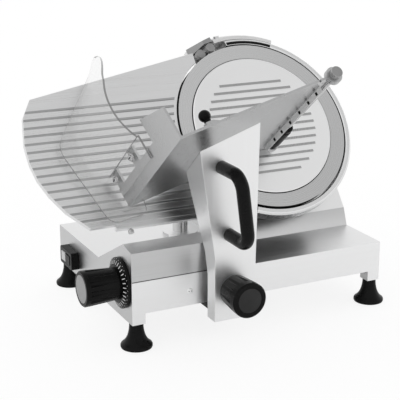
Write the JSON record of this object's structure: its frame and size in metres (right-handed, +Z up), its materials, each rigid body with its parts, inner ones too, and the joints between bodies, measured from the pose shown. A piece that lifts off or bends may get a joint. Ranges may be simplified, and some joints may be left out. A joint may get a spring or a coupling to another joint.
{
  "type": "electric food slicer",
  "caption": "Gravity feed electric slicer with a leaning round blade, ribbed gauge plate, sliding tray with pusher and clear hand guard, and a thickness dial",
  "frame": {"origin": "on the worktop, under the middle of the overall outline", "axes": "+X along the carriage travel to the right of the user, +Y away from the user, +Z up"},
  "size_m": [0.576, 0.4652, 0.4295],
  "materials": {
    "cast": "satin anodised",
    "sheet": "brushed and anodised",
    "chrome": "polished",
    "steel": "ground",
    "black": "satin",
    "grey": "satin",
    "white": "light satin",
    "clear": "clear acrylic",
    "dark": "dark paint",
    "rubber": "moulded",
    "brass": "plain",
    "stone": "bonded abrasive"
  },
  "bodies": {
    "base": {"base_housing": "cast", "bottom_cover": "steel", "foot_front_left": "rubber", "foot_front_right": "rubber", "foot_rear_left": "rubber", "foot_rear_right": "rubber", "cord_gland": "black", "switch_box": "black", "slide_rod": "chrome", "guide_bar": "chrome", "gauge_post": "chrome", "blade_carrier": "dark", "ring_plate": "cast", "ring_guard": "cast", "blade_axle": "steel", "blade_cover": "sheet", "cover_release_knob": "black", "motor": "dark", "drive_belt": "rubber", "sharpener_housing": "white", "sharpener_bracket": "sheet"},
    "blade_unit": {"blade": "chrome", "blade_pulley": "cast", "blade_bearings": "steel", "blade_screws": "steel"},
    "motor_rotor": {"motor_pulley": "steel"},
    "gauge": {"gauge_plate": "sheet", "gauge_lip": "cast", "gauge_bracket": "cast", "gauge_spindle": "chrome"},
    "thickness_control": {"thickness_dial": "black", "thickness_knob": "black", "thickness_knob_cap": "grey", "thickness_spindle": "steel", "thickness_cam": "steel"},
    "start": {"start_button": "grey"},
    "stop": {"stop_button": "black"},
    "carriage": {"column": "cast", "food_tray": "sheet", "hand_guard": "clear", "guard_screws": "steel", "carriage_handle": "black", "carriage_arm": "cast", "slide_block": "cast", "slide_bushes": "brass", "pusher_rod": "chrome", "rod_end_cap": "chrome"},
    "lock": {"tray_lock_knob": "black", "tray_lock_cap": "black"},
    "pusher_slider": {"pusher_sleeve": "black"},
    "pusher": {"pusher_arm": "sheet", "pusher_plate": "sheet", "pusher_knob": "black"},
    "grinding": {"grinding_stone": "stone"},
    "honing": {"honing_stone": "stone"}
  },
  "joints": [
    {"name": "carriage_slide", "type": "slide", "parent": "base", "child": "carriage", "axis": [1, 0, 0], "range_m": [0, 0.245]},
    {"name": "blade_spin", "type": "hinge", "parent": "base", "child": "blade_unit", "pos_m": [0.124, 0.06693, 0.2711], "axis": [0, -0.7826, 0.6225], "continuous": true},
    {"name": "motor_spin", "type": "hinge", "parent": "base", "child": "motor_rotor", "pos_m": [0.16, 0.02233, 0.19414], "axis": [0, -0.7826, 0.6225], "continuous": true},
    {"name": "gauge_slide", "type": "slide", "parent": "base", "child": "gauge", "axis": [0, 0.7826, -0.6225], "range_m": [0, 0.015]},
    {"name": "thickness_turn", "type": "hinge", "parent": "base", "child": "thickness_control", "pos_m": [-0.196, -0.06137, 0.0975], "axis": [-1, 0, 0], "range_deg": [0, 300]},
    {"name": "start_press", "type": "slide", "parent": "base", "child": "start", "axis": [1, 0, 0], "range_m": [0, 0.003], "stiffness_N_per_m": 300},
    {"name": "stop_press", "type": "slide", "parent": "base", "child": "stop", "axis": [1, 0, 0], "range_m": [0, 0.003], "stiffness_N_per_m": 300},
    {"name": "lock_turn", "type": "hinge", "parent": "carriage", "child": "lock", "pos_m": [-0.023, -0.17137, 0.087], "axis": [0, -1, 0], "range_deg": [0, 270]},
    {"name": "pusher_slide", "type": "slide", "parent": "carriage", "child": "pusher_slider", "axis": [0, -0.7826, 0.6225], "range_m": [0, 0.16]},
    {"name": "pusher_swing", "type": "hinge", "parent": "pusher_slider", "child": "pusher", "pos_m": [0.11535, -0.03116, 0.29235], "axis": [0, -0.7826, 0.6225], "range_deg": [-150, 0]},
    {"name": "grinding_spin", "type": "hinge", "parent": "base", "child": "grinding", "pos_m": [0.05512, 0.14118, 0.39657], "axis": [0, -0.7826, 0.6225], "continuous": true},
    {"name": "honing_spin", "type": "hinge", "parent": "base", "child": "honing", "pos_m": [0.07323, 0.14574, 0.4023], "axis": [0, -0.7826, 0.6225], "continuous": true}
  ],
  "couplings": [
    {"joint": "motor_spin", "follows": "blade_spin", "ratio": 4},
    {"joint": "thickness_turn", "follows": "gauge_slide", "rad_per_m": 349.06}
  ]
}
